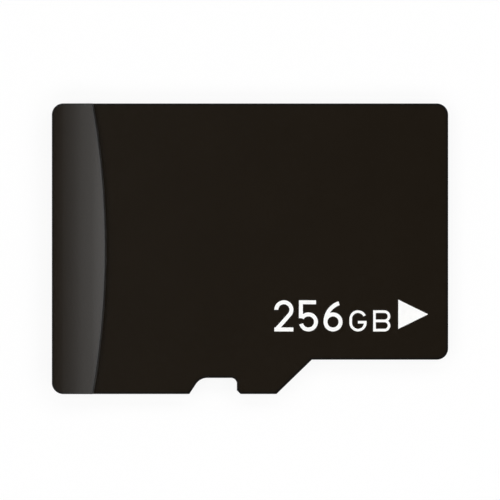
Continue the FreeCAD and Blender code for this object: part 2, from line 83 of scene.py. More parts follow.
# %% Make the camera
PHOTO_SIDE = 500
PHOTO_LEFT, PHOTO_RIGHT = 51.8, 448.1
PHOTO_MIDDLE = (250.05, 248.75)
LENS_LENGTH = 500.0
SENSOR_WIDTH = 36.0

cover_low, cover_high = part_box("moulded_cover")
printed_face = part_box("arrow_print")[0].z
pixel = (cover_high.x - cover_low.x) / (PHOTO_RIGHT - PHOTO_LEFT)
height = pixel * PHOTO_SIDE * LENS_LENGTH / SENSOR_WIDTH

camera = bpy.data.objects.new("camera", bpy.data.cameras.new("camera"))
camera.data.lens = LENS_LENGTH
camera.data.sensor_width = SENSOR_WIDTH
camera.data.clip_start = 1 * MM
camera.location.x = (PHOTO_SIDE / 2 - PHOTO_MIDDLE[0]) * pixel
camera.location.y = (PHOTO_MIDDLE[1] - PHOTO_SIDE / 2) * pixel
camera.location.z = printed_face + height
bpy.context.scene.collection.objects.link(camera)
bpy.context.scene.camera = camera
bpy.context.scene.view_settings.view_transform = "Standard"
print("camera height in mm:", round(height / MM, 1), "one pixel in mm:", round(pixel / MM, 4))

# %% [markdown]
# ## Small helpers for node trees
# A surface in Blender is a tree of nodes joined by links. It could be drawn by hand in the shader
# editor, but a script can repeat it. A few helpers keep the cells below short: one adds a node and
# sets its inputs, one links two sockets, and one starts a finish, a material with its shader.

# %% Node helpers
finishes = {}


def add(tree, kind, inputs=None, **settings):
    """Adds a node, with its settings and the values of its inputs."""
    node = tree.nodes.new(kind)
    for name, value in settings.items():
        setattr(node, name, value)
    for name, value in (inputs or {}).items():
        node.inputs[name].default_value = value
    return node


def link(tree, source, target):
    """Joins an output of one node to an input of another."""
    tree.links.new(source, target)


def start_finish(name, inputs):
    """Starts a finish. The inputs are those of its shader that are the same all over."""
    finishes[name] = bpy.data.materials.new(name)
    finishes[name].use_nodes = True
    tree = finishes[name].node_tree
    shader = tree.nodes["Principled BSDF"]
    for socket, value in inputs.items():
        shader.inputs[socket].default_value = value
    return tree, shader


print("helpers ready, finishes so far:", len(finishes))

# %% [markdown]
# ## The table
# The picture's ground is plain white. A white floor under plain light comes out nearly white and
# holds the card's soft shadow. Stronger lamps would make it whiter, but the card too. So part of the
# floor's white is its own glow, seen only by the camera, in mirrors and through glass: the shadow is
# faint, as on a light table, and the glow puts no light on the card.

# %% Lay the floor
FLOOR_RADIUS = 3.0
FLOOR_DROP = 20 * MICRON
FLOOR_SIDES = 96

floor_mesh = bpy.data.meshes.new("floor")
shaper = bmesh.new()
bmesh.ops.create_circle(shaper, cap_ends=True, segments=FLOOR_SIDES, radius=FLOOR_RADIUS)
shaper.to_mesh(floor_mesh)
shaper.free()
floor = bpy.data.objects.new("floor", floor_mesh)
floor.location.z = cad_box[0].z - FLOOR_DROP
bpy.context.scene.collection.objects.link(floor)
floor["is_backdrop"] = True
print("floor radius in m:", FLOOR_RADIUS)

# %% Make the floor glow
FLOOR_GLOW = 0.88
FLOOR_WHITE = (0.96, 0.96, 0.96, 1)

matte_white = {"Base Color": FLOOR_WHITE, "Roughness": 0.9, "Specular IOR Level": 0.0}
tree, shader = start_finish("table_white", matte_white)
glow = add(tree, "ShaderNodeEmission", {"Strength": 1.0})
path = add(tree, "ShaderNodeLightPath")
seen = add(tree, "ShaderNodeMath", operation="MAXIMUM")
seen_at_all = add(tree, "ShaderNodeMath", operation="MAXIMUM")
share = add(tree, "ShaderNodeMath", {1: FLOOR_GLOW}, operation="MULTIPLY")
both = add(tree, "ShaderNodeMixShader")
link(tree, path.outputs["Is Camera Ray"], seen.inputs[0])
link(tree, path.outputs["Is Glossy Ray"], seen.inputs[1])
link(tree, seen.outputs[0], seen_at_all.inputs[0])
link(tree, path.outputs["Is Transmission Ray"], seen_at_all.inputs[1])
link(tree, seen_at_all.outputs[0], share.inputs[0])
link(tree, share.outputs[0], both.inputs[0])
link(tree, shader.outputs[0], both.inputs[1])
link(tree, glow.outputs[0], both.inputs[2])
link(tree, both.outputs[0], tree.nodes["Material Output"].inputs["Surface"])
floor.data.materials.append(finishes["table_white"])
print("share of the floor's white that is glow:", FLOOR_GLOW)

# %% [markdown]
# ## The studio light
# The flat face of the card mirrors what is straight above it, and in the picture it is nearly black,
# so the studio has a dark ceiling and grey walls. The finger lip leans a little to the rear, more
# and more towards its ridge, and turns from black to grey as it does. A soft box over the rear end
# gives that: it fades out towards the ceiling, so the lip mirrors more and more of it. Three wide
# boxes on the other sides give most of the light. The two at the sides are shallow and hang high,
# so a low view of the card doesn't mirror them and its face stays black. The one in front hangs
# lower, so the lip shines when it is seen from behind. We write each box's brightness as seen,
# where 1 is white, and work out its watts from its area.

# %% Paint the room
WALL_LEVEL = 0.40
CEILING_LEVEL = 0.03
WALL_TOP = 0.10
CEILING_EDGE = 0.60

world = bpy.data.worlds.new("studio")
world.use_nodes = True
bpy.context.scene.world = world
tree = world.node_tree
room = tree.nodes["Background"]
room.inputs["Color"].default_value = (1, 1, 1, 1)
look = add(tree, "ShaderNodeTexCoord")
split = add(tree, "ShaderNodeSeparateXYZ")
levels = {"From Min": WALL_TOP, "From Max": CEILING_EDGE, "To Min": WALL_LEVEL, "To Max": CEILING_LEVEL}
fade = add(tree, "ShaderNodeMapRange", levels, interpolation_type="SMOOTHSTEP")
link(tree, look.outputs["Generated"], split.inputs[0])
link(tree, split.outputs["Z"], fade.inputs["Value"])
link(tree, fade.outputs[0], room.inputs["Strength"])
print("walls", WALL_LEVEL, "ceiling", CEILING_LEVEL)

# %% A soft box
BOX_DISTANCE = 1.0


def soft_box(name, compass, lean, width, depth, level):
    """A soft box that faces the card.

    Compass is its direction in degrees from +X, and lean its angle from straight up.
    """
    lamp = bpy.data.lights.new(name, "AREA")
    lamp.shape = "RECTANGLE"
    lamp.size = width
    lamp.size_y = depth
    lamp.energy = level * math.pi * width * depth
    box = bpy.data.objects.new(name, lamp)
    flat = math.sin(math.radians(lean))
    turn = math.radians(compass)
    towards = Vector((flat * math.cos(turn), flat * math.sin(turn), math.cos(math.radians(lean))))
    box.location = towards * BOX_DISTANCE
    box.rotation_euler = towards.to_track_quat("Z", "Y").to_euler()
    box.visible_camera = False
    bpy.context.scene.collection.objects.link(box)
    print(name, "watts:", round(lamp.energy, 2))
    return lamp


print("distance of the boxes in m:", BOX_DISTANCE)

# %% Hang the soft boxes
FRONT_BOX = {"lean": 45, "width": 1.40, "depth": 0.50, "level": 2.10}
SIDE_BOX = {"lean": 40, "width": 1.40, "depth": 0.38, "level": 2.48}
LIP_BOX = {"lean": 26, "width": 0.60, "depth": 0.80, "level": 2.48}

soft_box("front_box", compass=0, **FRONT_BOX)
soft_box("left_box", compass=90, **SIDE_BOX)
soft_box("right_box", compass=270, **SIDE_BOX)
lip_lamp = soft_box("lip_box", compass=180, **LIP_BOX)

# %% Fade the box over the lip
FADE_TOP = 0.955
FADE_END = 0.48

lip_lamp.use_nodes = True
tree = lip_lamp.node_tree
spot = add(tree, "ShaderNodeNewGeometry")
split = add(tree, "ShaderNodeSeparateXYZ")
fade = add(tree, "ShaderNodeMapRange", {"From Min": FADE_TOP, "From Max": FADE_END})
link(tree, spot.outputs["Parametric"], split.inputs[0])
link(tree, split.outputs["Y"], fade.inputs["Value"])
link(tree, fade.outputs[0], tree.nodes["Emission"].inputs["Strength"])
print("lip box fades out over", round(FADE_TOP - FADE_END, 2), "of its depth")

# %% [markdown]
# ## Effects that several finishes share
# Cast resin, print, ceramic and plated metal are never quite even, and each is uneven at its own
# scale. Building that anew for every finish would repeat the same nodes, so each effect is a node
# group, made once and placed in the finishes with values of their own. The sizes in a group are real
# lengths, in metres on the piece, and it gives one value for each point.

# %% Start a group
def start_group(name, inputs, output):
    """Starts a group with named inputs, single numbers or triples, and one output."""
    group = bpy.data.node_groups.new(name, "ShaderNodeTree")
    for socket, value in inputs.items():
        kind = "NodeSocketVector" if isinstance(value, tuple) else "NodeSocketFloat"
        group.interface.new_socket(socket, in_out="INPUT", socket_type=kind).default_value = value
    group.interface.new_socket(output, in_out="OUTPUT", socket_type="NodeSocketFloat")
    return group, add(group, "NodeGroupInput"), add(group, "NodeGroupOutput")


def use(tree, group, inputs=None):
    """Places a group in a finish and gives its output."""
    return add(tree, "ShaderNodeGroup", inputs, node_tree=group).outputs[0]


print("node groups so far:", len(bpy.data.node_groups))

# %% [markdown]
# ### Mottle
# Mottle is soft unevenness with no direction: cloudy resin, the grain of a moulded face, speckled
# ceramic. A picture of such a surface would repeat and need unwrapping. A noise texture does neither,
# and one group can make all of them. Its one input is the pitch, the distance from one speck to the
# next.

# %% Mottle
mottle, given, result = start_group("mottle", {"Pitch": 0.1 * MM}, "Mottle")
place = add(mottle, "ShaderNodeTexCoord")
scale = add(mottle, "ShaderNodeMath", {0: 1.0}, operation="DIVIDE")
noise = add(mottle, "ShaderNodeTexNoise", {"Detail": 2.0})
link(mottle, given.outputs["Pitch"], scale.inputs[1])
link(mottle, scale.outputs[0], noise.inputs["Scale"])
link(mottle, place.outputs["Object"], noise.inputs["Vector"])
link(mottle, noise.outputs[0], result.inputs["Mottle"])
print("mottle has", len(mottle.nodes), "nodes")

# %% [markdown]
# ### Streaks
# Saw lines, glass fibres and the marks that a socket's springs rub into gold are long one way and
# thin the other ways. Cutting each line into the mesh would take millions of faces. Here they are
# the same noise in a stretched space: the place is divided by the size of one streak along X, Y
# and Z.

# %% Streaks
streaks, given, result = start_group("streaks", {"Size": (MM, 0.01 * MM, 0.01 * MM)}, "Streaks")
place = add(streaks, "ShaderNodeTexCoord")
stretch = add(streaks, "ShaderNodeVectorMath", operation="DIVIDE")
noise = add(streaks, "ShaderNodeTexNoise", {"Scale": 1.0, "Detail": 2.0})
link(streaks, place.outputs["Object"], stretch.inputs[0])
link(streaks, given.outputs["Size"], stretch.inputs[1])
link(streaks, stretch.outputs[0], noise.inputs["Vector"])
link(streaks, noise.outputs[0], result.inputs["Streaks"])
print("streaks has", len(streaks.nodes), "nodes")

# %% [markdown]
# ### Cut walls
# Cards are cut out of a large moulded panel and dies are sawn out of a wafer, so their upright walls
# look different from their faces. Two materials on one piece would need its faces sorted by hand.
# The surface's own direction tells them apart: this group gives 0 where a surface lies flat and 1
# where it stands upright, with a short change on rounded edges.

# %% Cut walls
cut_walls, given, result = start_group("cut_walls", {"Flat": 0.97, "Upright": 0.75}, "Wall")
place = add(cut_walls, "ShaderNodeTexCoord")
split = add(cut_walls, "ShaderNodeSeparateXYZ")
upward = add(cut_walls, "ShaderNodeMath", operation="ABSOLUTE")
change = add(cut_walls, "ShaderNodeMapRange")
link(cut_walls, place.outputs["Normal"], split.inputs[0])
link(cut_walls, split.outputs["Z"], upward.inputs[0])
link(cut_walls, upward.outputs[0], change.inputs["Value"])
link(cut_walls, given.outputs["Flat"], change.inputs["From Min"])
link(cut_walls, given.outputs["Upright"], change.inputs["From Max"])
link(cut_walls, change.outputs[0], result.inputs["Wall"])
print("cut_walls has", len(cut_walls.nodes), "nodes")

# %% [markdown]
# ### Rims
# Edges fare differently from faces: the black compound gets painted shade along them, and plating
# grows thicker on them.
# Painting them by hand would have to be done again after each change of shape. A bevel node bends the
# surface's direction near an edge, and how far it is bent tells how near the edge is. It does so in
# an inner corner too, so an occlusion node takes away the places that a near surface shades. The
# group gives 1 on the very edge and 0 from a set width on. The mesh itself stays as it is.

# %% Rims
RIM_RAYS = 8
BENT = {"From Min": 0.999, "From Max": 0.97}
UNSHADED = {"From Min": 0.80, "From Max": 0.95}

rims, given, result = start_group("rims", {"Width": 0.05 * MM}, "Rim")
rounded = add(rims, "ShaderNodeBevel", samples=RIM_RAYS)
facing = add(rims, "ShaderNodeNewGeometry")
agree = add(rims, "ShaderNodeVectorMath", operation="DOT_PRODUCT")
near = add(rims, "ShaderNodeMapRange", BENT)
shade = add(rims, "ShaderNodeAmbientOcclusion", samples=RIM_RAYS, only_local=True)
free = add(rims, "ShaderNodeMapRange", UNSHADED)
outer = add(rims, "ShaderNodeMath", operation="MULTIPLY")
link(rims, given.outputs["Width"], rounded.inputs["Radius"])
link(rims, given.outputs["Width"], shade.inputs["Distance"])
link(rims, rounded.outputs[0], agree.inputs[0])
link(rims, facing.outputs["Normal"], agree.inputs[1])
link(rims, agree.outputs["Value"], near.inputs["Value"])
link(rims, shade.outputs["AO"], free.inputs["Value"])
link(rims, near.outputs[0], outer.inputs[0])
link(rims, free.outputs[0], outer.inputs[1])
link(rims, outer.outputs[0], result.inputs["Rim"])
print("rims has", len(rims.nodes), "nodes")

# %% [markdown]
# ### From an effect to a surface
# An effect's value has to become a colour, a roughness or a relief. Noise stays mostly between 0.3
# and 0.7, so one helper carries that range over to any other, one mixes two numbers or colours, one
# goes from colour to colour with a noise, and one presses a height in metres into the surface.

# %% Carry and mix
NOISE_RANGE = {"From Min": 0.3, "From Max": 0.7}
# The Mix node has sockets of its own for each kind: the numbers of two inputs and of the output.
MIX_SOCKETS = {"FLOAT": (2, 3, 0), "RGBA": (6, 7, 2)}


def carry(tree, noise, low, high):
    """Carries a noise value over to the range from low to high."""
    change = add(tree, "ShaderNodeMapRange", {**NOISE_RANGE, "To Min": low, "To Max": high})
    link(tree, noise, change.inputs["Value"])
    return change.outputs[0]


def mix(tree, kind, factor, first, second):
    """Mixes two numbers or two colours. Each is plain or comes from a socket."""
    node = add(tree, "ShaderNodeMix", data_type=kind)
    first_slot, second_slot, result = MIX_SOCKETS[kind]
    link(tree, factor, node.inputs[0])
    for number, source in ((first_slot, first), (second_slot, second)):
        if isinstance(source, bpy.types.NodeSocket):
            link(tree, source, node.inputs[number])
        else:
            node.inputs[number].default_value = source
    return node.outputs[result]


print("kinds of mix:", sorted(MIX_SOCKETS))

# %% Vary and press
def vary(tree, noise, first, second):
    """Goes from one colour to another with a noise value."""
    return mix(tree, "RGBA", carry(tree, noise, 0.0, 1.0), (*first, 1), (*second, 1))


def press(tree, shader, relief):
    """Gives the surface a relief, a height in metres."""
    bump = add(tree, "ShaderNodeBump", {"Distance": 1.0})
    link(tree, relief, bump.inputs["Height"])
    link(tree, bump.outputs[0], shader.inputs["Normal"])


print("finishes so far:", sorted(finishes))

# %% [markdown]
# ## Black moulding compound
# The body of the card is epoxy filled with silica powder, pressed around the dies in a smooth steel
# mould and then cut out. Its face is a warm black with a satin shine and a grain too fine to see at
# arm's length. The cut walls are blacker and matte, with fine upright lines. Along the edges a near
# black is painted in, a painted dark outline that stands for shade. One plain black would look like a
# hole in the table, so faint clouds and a shallow grain break the shine, and the walls get a colour,
# roughness and relief of their own.

# %% Moulding compound
FACE_BLACK = (0.0081, 0.0048, 0.0015)
FACE_CLOUD = (0.0089, 0.0054, 0.0019)
FACE_ROUGHNESS = (0.20, 0.24)
FACE_CLOUD_PITCH = 1.6 * MM
GRAIN_PITCH = 60 * MICRON
GRAIN_DEPTH = 1.2 * MICRON
WALL_BLACK = (0.0030, 0.0024, 0.0016, 1)
WALL_ROUGHNESS = 0.5
CUT_LINE = (40 * MICRON, 40 * MICRON, 2 * MM)
CUT_DEPTH = 4 * MICRON
# The colour that the compound goes to near its edges: a painted dark outline, painted shade.
PAINTED_EDGE_SHADE = (0.0004, 0.0003, 0.0002, 1)
EDGE_SHADE_WIDTH = 170 * MICRON

tree, shader = start_finish("moulding_compound", {})
wall = use(tree, cut_walls)
rim = use(tree, rims, {"Width": EDGE_SHADE_WIDTH})
cloud = use(tree, mottle, {"Pitch": FACE_CLOUD_PITCH})
grain = use(tree, mottle, {"Pitch": GRAIN_PITCH})
lines = use(tree, streaks, {"Size": CUT_LINE})
face_colour = vary(tree, cloud, FACE_BLACK, FACE_CLOUD)
cut_colour = mix(tree, "RGBA", wall, face_colour, WALL_BLACK)
# Near its edges the compound is coloured a near black: painted shade along the edges.
link(tree, mix(tree, "RGBA", rim, cut_colour, PAINTED_EDGE_SHADE), shader.inputs["Base Color"])
face_roughness = carry(tree, grain, *FACE_ROUGHNESS)
link(tree, mix(tree, "FLOAT", wall, face_roughness, WALL_ROUGHNESS), shader.inputs["Roughness"])
face_relief = carry(tree, grain, 0.0, GRAIN_DEPTH)
wall_relief = carry(tree, lines, 0.0, CUT_DEPTH)
press(tree, shader, mix(tree, "FLOAT", wall, face_relief, wall_relief))
print("moulding_compound:", len(tree.nodes), "nodes")

# %% [markdown]
# ## White ink and die film
# The mark and the figures are pad printed: a soft pad lays down a film of ink a hundredth of a
# millimetre thick, a clean matte white, slightly thinner in places, with a dry, powdery surface.
# Inside the card each die is stuck down with a film of amber adhesive, a soft resin, cloudy and a
# little rippled from the press that cured it. An image could paint the print on the face, but here
# ink and film are thin pieces of their own, so one function makes both finishes: a coarse mottle
# clouds the colour, and a fine one breaks the shine and gives a relief.

# %% Ink and film
def film_finish(name, first, second, clouds, roughness, grain, depth):
    """A thin film with clouds of two colours and a fine grain in its shine and relief."""
    tree, shader = start_finish(name, {})
    coarse = use(tree, mottle, {"Pitch": clouds})
    fine = use(tree, mottle, {"Pitch": grain})
    link(tree, vary(tree, coarse, first, second), shader.inputs["Base Color"])
    link(tree, carry(tree, fine, *roughness), shader.inputs["Roughness"])
    press(tree, shader, carry(tree, fine, 0.0, depth))
    print(name + ":", len(tree.nodes), "nodes")


film_finish(
    "white_ink",
    first=(0.955, 0.955, 0.940),
    second=(0.972, 0.972, 0.958),
    clouds=0.2 * MM,
    roughness=(0.48, 0.58),
    grain=30 * MICRON,
    depth=1.0 * MICRON,
)
film_finish(
    "die_film",
    first=(0.21, 0.115, 0.030),
    second=(0.30, 0.175, 0.050),
    clouds=0.5 * MM,
    roughness=(0.38, 0.52),
    grain=80 * MICRON,
    depth=1.0 * MICRON,
)

# %% [markdown]
# ## Circuit board
# The contact side is one thin board of glass fibre in resin, coated with black solder mask. The mask
# is a lacquer, so it is smooth, a little glossy and gently wavy. Where the board was cut, its edge
# shows brown resin with pale glass fibres that lie along the board. A second material would need
# the faces of the edge picked out. The group that finds cut walls chooses between the two instead,
# so the board stays one piece with one finish.

# %% Board mask
MASK_BLACK = (0.0095, 0.0105, 0.0095)
MASK_CLOUD = (0.0130, 0.0140, 0.0125)
MASK_ROUGHNESS = (0.30, 0.38)
MASK_CLOUD_PITCH = 1.2 * MM
WAVE_PITCH = 0.25 * MM
WAVE_DEPTH = 1.5 * MICRON
RESIN_BROWN = (0.030, 0.022, 0.011)
FIBRE_PALE = (0.085, 0.072, 0.045)
EDGE_ROUGHNESS = (0.75, 0.55)
FIBRE_SIZE = (0.5 * MM, 0.5 * MM, 14 * MICRON)
FIBRE_DEPTH = 3 * MICRON

tree, shader = start_finish("board_mask", {})
wall = use(tree, cut_walls)
cloud = use(tree, mottle, {"Pitch": MASK_CLOUD_PITCH})
wave = use(tree, mottle, {"Pitch": WAVE_PITCH})
fibre = use(tree, streaks, {"Size": FIBRE_SIZE})
mask_colour = vary(tree, cloud, MASK_BLACK, MASK_CLOUD)
edge_colour = vary(tree, fibre, RESIN_BROWN, FIBRE_PALE)
link(tree, mix(tree, "RGBA", wall, mask_colour, edge_colour), shader.inputs["Base Color"])
mask_roughness = carry(tree, wave, *MASK_ROUGHNESS)
edge_roughness = carry(tree, fibre, *EDGE_ROUGHNESS)
link(tree, mix(tree, "FLOAT", wall, mask_roughness, edge_roughness), shader.inputs["Roughness"])
mask_relief = carry(tree, wave, 0.0, WAVE_DEPTH)
edge_relief = carry(tree, fibre, 0.0, FIBRE_DEPTH)
press(tree, shader, mix(tree, "FLOAT", wall, mask_relief, edge_relief))
print("board_mask:", len(tree.nodes), "nodes")

# %% [markdown]
# ## Gold
# Three kinds of gold are on a card. The contacts are hard gold over nickel, with fine lines where
# the springs of a socket have wiped along them. The fingers inside are soft matte gold, and the wires
# are drawn bright. Each could be a finish of its own, but all are a metal with a gold colour that is
# deeper at its rims, so one function makes them from two colours, a range of roughness, and the size
# and the depth of a mark.

# %% A gold finish
GOLD_TONE_PITCH = 0.4 * MM
GOLD_RIM_WIDTH = 40 * MICRON


def gold_finish(name, deep, pale, roughness, mark, depth):
    """A gold metal with two tones, marks of one size and deeper rims."""
    tree, shader = start_finish(name, {"Metallic": 1.0})
    tone = use(tree, mottle, {"Pitch": GOLD_TONE_PITCH})
    marks = use(tree, streaks, {"Size": mark})
    rim = use(tree, rims, {"Width": GOLD_RIM_WIDTH})
    colour = mix(tree, "RGBA", rim, vary(tree, tone, deep, pale), (*deep, 1))
    link(tree, colour, shader.inputs["Base Color"])
    link(tree, carry(tree, marks, *roughness), shader.inputs["Roughness"])
    press(tree, shader, carry(tree, marks, depth, 0.0))
    print(name + ":", len(tree.nodes), "nodes")


print("width of a gold rim in mm:", round(GOLD_RIM_WIDTH / MM, 3))

# %% Three golds
gold_finish(
    "contact_gold",
    deep=(0.83, 0.55, 0.21),
    pale=(0.86, 0.58, 0.235),
    roughness=(0.18, 0.27),
    mark=(1.8 * MM, 9 * MICRON, MM),
    depth=0.25 * MICRON,
)
gold_finish(
    "finger_gold",
    deep=(0.86, 0.62, 0.30),
    pale=(0.92, 0.70, 0.38),
    roughness=(0.34, 0.50),
    mark=(12 * MICRON, 12 * MICRON, 12 * MICRON),
    depth=0.5 * MICRON,
)
gold_finish(
    "wire_gold",
    deep=(0.93, 0.68, 0.31),
    pale=(0.97, 0.74, 0.38),
    roughness=(0.14, 0.24),
    mark=(0.2 * MM, 4 * MICRON, 4 * MICRON),
    depth=0.1 * MICRON,
)

# %% [markdown]
# ## Silicon dies
# A die is a sliver of polished silicon. Its circuits are too fine to see one by one, but they lie in
# rows, which tint the surface violet and green, and the rows lie in large fields with pale lanes
# between them. Noise has no straight lines. A brick texture gives blocks and the joints between
# them in one node, so a fine one makes the rows and a coarse one the lanes. The sawn sides are
# plain dark grey with saw lines.

# %% Silicon
ROW_VIOLET = (0.040, 0.034, 0.056, 1)
ROW_GREEN = (0.040, 0.046, 0.050, 1)
ROW_JOINT = (0.085, 0.078, 0.080, 1)
LANE_GREY = (0.16, 0.14, 0.12, 1)
SAWN_GREY = (0.055, 0.055, 0.060, 1)
ROWS_IN_MM = {"Scale": 1 / MM, "Brick Width": 0.62, "Row Height": 0.105, "Mortar Size": 0.006}
FIELDS_IN_MM = {"Scale": 1 / MM, "Brick Width": 2.5, "Row Height": 2.1, "Mortar Size": 0.030}
POLISH_ROUGHNESS = (0.14, 0.22)
POLISH_PITCH = 20 * MICRON
SAWN_ROUGHNESS = 0.5
SAW_LINE = (0.4 * MM, 0.4 * MM, 6 * MICRON)
SAW_DEPTH = 1.5 * MICRON

tree, shader = start_finish("silicon", {"Metallic": 0.6})
place = add(tree, "ShaderNodeTexCoord")
row_colours = {"Color1": ROW_VIOLET, "Color2": ROW_GREEN, "Mortar": ROW_JOINT}
rows = add(tree, "ShaderNodeTexBrick", {**row_colours, **ROWS_IN_MM}, offset=0.0)
fields = add(tree, "ShaderNodeTexBrick", FIELDS_IN_MM, offset=0.0)
link(tree, place.outputs["Object"], rows.inputs["Vector"])
link(tree, place.outputs["Object"], fields.inputs["Vector"])
circuits = mix(tree, "RGBA", fields.outputs["Fac"], rows.outputs["Color"], LANE_GREY)
wall = use(tree, cut_walls)
saw = use(tree, streaks, {"Size": SAW_LINE})
polish = carry(tree, use(tree, mottle, {"Pitch": POLISH_PITCH}), *POLISH_ROUGHNESS)
link(tree, mix(tree, "RGBA", wall, circuits, SAWN_GREY), shader.inputs["Base Color"])
link(tree, mix(tree, "FLOAT", wall, polish, SAWN_ROUGHNESS), shader.inputs["Roughness"])
press(tree, shader, mix(tree, "FLOAT", wall, 0.0, carry(tree, saw, 0.0, SAW_DEPTH)))
print("silicon:", len(tree.nodes), "nodes")

# %% [markdown]
# ## Capacitors
# The small parts beside the controller are blocks of fired ceramic, brown and finely speckled, with
# an end cap of tin at each end. Matte tin grows in crystals, which show as tiny patches that shine
# differently. Noise would blur them into each other. A Voronoi texture splits the surface into such
# patches and gives each a tone of its own.

# %% Ceramic
FIRED_DARK = (0.20, 0.125, 0.062)
FIRED_PALE = (0.27, 0.180, 0.098)
FIRED_PITCH = 0.3 * MM
SPECK_BROWN = (0.12, 0.075, 0.040, 1)
SPECK_SHARE = 0.5
SPECK_PITCH = 16 * MICRON
SPECK_DEPTH = 0.8 * MICRON
CERAMIC_ROUGHNESS = (0.42, 0.62)

tree, shader = start_finish("capacitor_ceramic", {})
speck = use(tree, mottle, {"Pitch": SPECK_PITCH})
fired = vary(tree, use(tree, mottle, {"Pitch": FIRED_PITCH}), FIRED_DARK, FIRED_PALE)
speckled = mix(tree, "RGBA", carry(tree, speck, 0.0, SPECK_SHARE), fired, SPECK_BROWN)
link(tree, speckled, shader.inputs["Base Color"])
link(tree, carry(tree, speck, *CERAMIC_ROUGHNESS), shader.inputs["Roughness"])
press(tree, shader, carry(tree, speck, 0.0, SPECK_DEPTH))
print("capacitor_ceramic:", len(tree.nodes), "nodes")

# %% Tin
TIN_DARK = (0.52, 0.52, 0.50)
TIN_PALE = (0.66, 0.66, 0.64)
TIN_ROUGHNESS = (0.30, 0.46)
CRYSTAL = 35 * MICRON
SKIN_PITCH = 10 * MICRON
SKIN_DEPTH = 0.5 * MICRON

tree, shader = start_finish("capacitor_tin", {"Metallic": 1.0})
place = add(tree, "ShaderNodeTexCoord")
crystals = add(tree, "ShaderNodeTexVoronoi", {"Scale": 1 / CRYSTAL})
tone = add(tree, "ShaderNodeSeparateColor")
skin = use(tree, mottle, {"Pitch": SKIN_PITCH})
link(tree, place.outputs["Object"], crystals.inputs["Vector"])
link(tree, crystals.outputs["Color"], tone.inputs[0])
link(tree, vary(tree, tone.outputs[0], TIN_DARK, TIN_PALE), shader.inputs["Base Color"])
link(tree, carry(tree, tone.outputs[1], *TIN_ROUGHNESS), shader.inputs["Roughness"])
press(tree, shader, carry(tree, skin, 0.0, SKIN_DEPTH))
print("capacitor_tin:", len(tree.nodes), "nodes")

# %% [markdown]
# ## Coat the pieces
# The card's record names the finish of every piece. We could set them one by one, but a loop can
# hand them out. The CAD pieces keep their shapes: only the material in their one slot changes.

# %% Hand out the finishes
for part in frame["record"]["subparts"]:
    piece = frame["nodes"][part["node"]]
    piece.material_slots[0].material = finishes[part["material_slot"]]

# %% [markdown]
# ## New pieces
# Some small forms are finer than the CAD model carries. We make each as a mesh of its own that moves
# with the card, takes one of the finishes above, and stands in for the plainer CAD piece where there
# is one. Their places come from the CAD pieces, so they stay right if a size changes there.

# %% Add a piece
def add_piece(name, mesh, slot, *stands_for):
    """Adds a mesh to the card as a new piece."""
    for face in mesh.polygons:
        face.use_smooth = True
    mesh.materials.append(finishes[slot])
    piece = bpy.data.objects.new(name, mesh)
    bpy.context.scene.collection.objects.link(piece)
    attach(piece, "root")
    if stands_for:
        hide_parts(*stands_for)
    print(name, "has", len(mesh.polygons), "faces")


print("finishes to choose from:", len(finishes))

# %% Read the solids of a CAD piece
WELD = 0.1 * MICRON


def welded(node):
    """A copy of a CAD piece to work on, with the corners of its faces joined."""
    shaper = bmesh.new()
    shaper.from_mesh(frame["nodes"][node].data)
    bmesh.ops.remove_doubles(shaper, verts=shaper.verts, dist=WELD)
    return shaper


def solids(node):
    """The corners of each separate solid of a CAD piece, from the lowest X and Y on."""
    shaper = welded(node)
    left = set(shaper.verts)
    found = []
    while left:
        group = [left.pop()]
        for corner in group:
            beside = {edge.other_vert(corner) for edge in corner.link_edges} & left
            left -= beside
            group += beside
        found.append(sorted((corner.co.copy() for corner in group), key=lambda place: place[:]))
    shaper.free()
    return sorted(found, key=lambda corners: (round(corners[0].x / WELD), corners[0].y))


print("controller wires:", len(solids("controller_bond_wires")))

# %% [markdown]
# ## Bond wires
# Gold wires finer than a hair join the dies to each other and to the board. A machine melts a ball at
# the wire's tip, presses it onto a pad, draws a loop and squeezes the other end flat. The CAD wires
# run straight, with a six-sided section, but their ends are right. We read those ends, draw a smooth
# spline over the same height and give it a round section, because a spline bends as a springy wire
# does. Pressed balls and wedges finish the ends.

# %% Read the ends of a wire
WIRE_SIDES = 6


def wire_radius(corners):
    """Half the width of a wire, across its run."""
    across = [corner.y for corner in corners]
    return (max(across) - min(across)) / 2


def wire_ends(corners):
    """The two ends of a wire and the height of its loop, from the corners of its CAD solid.

    Both ends are cut level, so the lowest ring of corners is the foot and the next one is the pad.
    """
    rising = sorted(corners, key=lambda corner: corner.z)
    foot = sum(rising[:WIRE_SIDES], Vector()) / WIRE_SIDES
    pad = sum(rising[WIRE_SIDES:2 * WIRE_SIDES], Vector()) / WIRE_SIDES
    return pad, foot, rising[-1].z - wire_radius(corners)


first_wire = solids("memory_bond_wires")[0]
pad, foot, top = wire_ends(first_wire)
print("a wire: span in mm", round((foot - pad).length / MM, 3))
print("radius in mm", round(wire_radius(first_wire) / MM, 4))

# %% Steer a loop
NECK = 0.7
SHOULDER_AT = 0.10
BROW_AT = 0.40
LANDING_AT = 0.78
LANDING_LIFT = 0.2


def loop_route(pad, foot, top):
    """The points that steer a loop: up from the pad, over the edge of the die and down to the foot."""
    along = Vector((foot.x - pad.x, 0, 0))
    loop = Vector((0, 0, top - pad.z))
    drop = Vector((0, 0, top - foot.z))
    return [
        pad,
        pad + NECK * loop,
        pad + SHOULDER_AT * along + loop,
        pad + BROW_AT * along + loop,
        foot - (1 - LANDING_AT) * along + LANDING_LIFT * drop,
        foot,
    ]


print("a loop has", len(loop_route(pad, foot, top)), "steering points")

# %% Tubes along splines
TUBE_ROUNDNESS = 2
TUBE_STEPS = 5


def draw_spline(curve, route, order, closed=False):
    """Adds a spline that follows the points of a route: straight runs at order 2, smooth above it."""
    spline = curve.splines.new("NURBS")
    spline.points.add(len(route) - 1)
    for point, place in zip(spline.points, route):
        point.co = (*place, 1)
    spline.order_u = order
    spline.use_endpoint_u = not closed
    spline.use_cyclic_u = closed


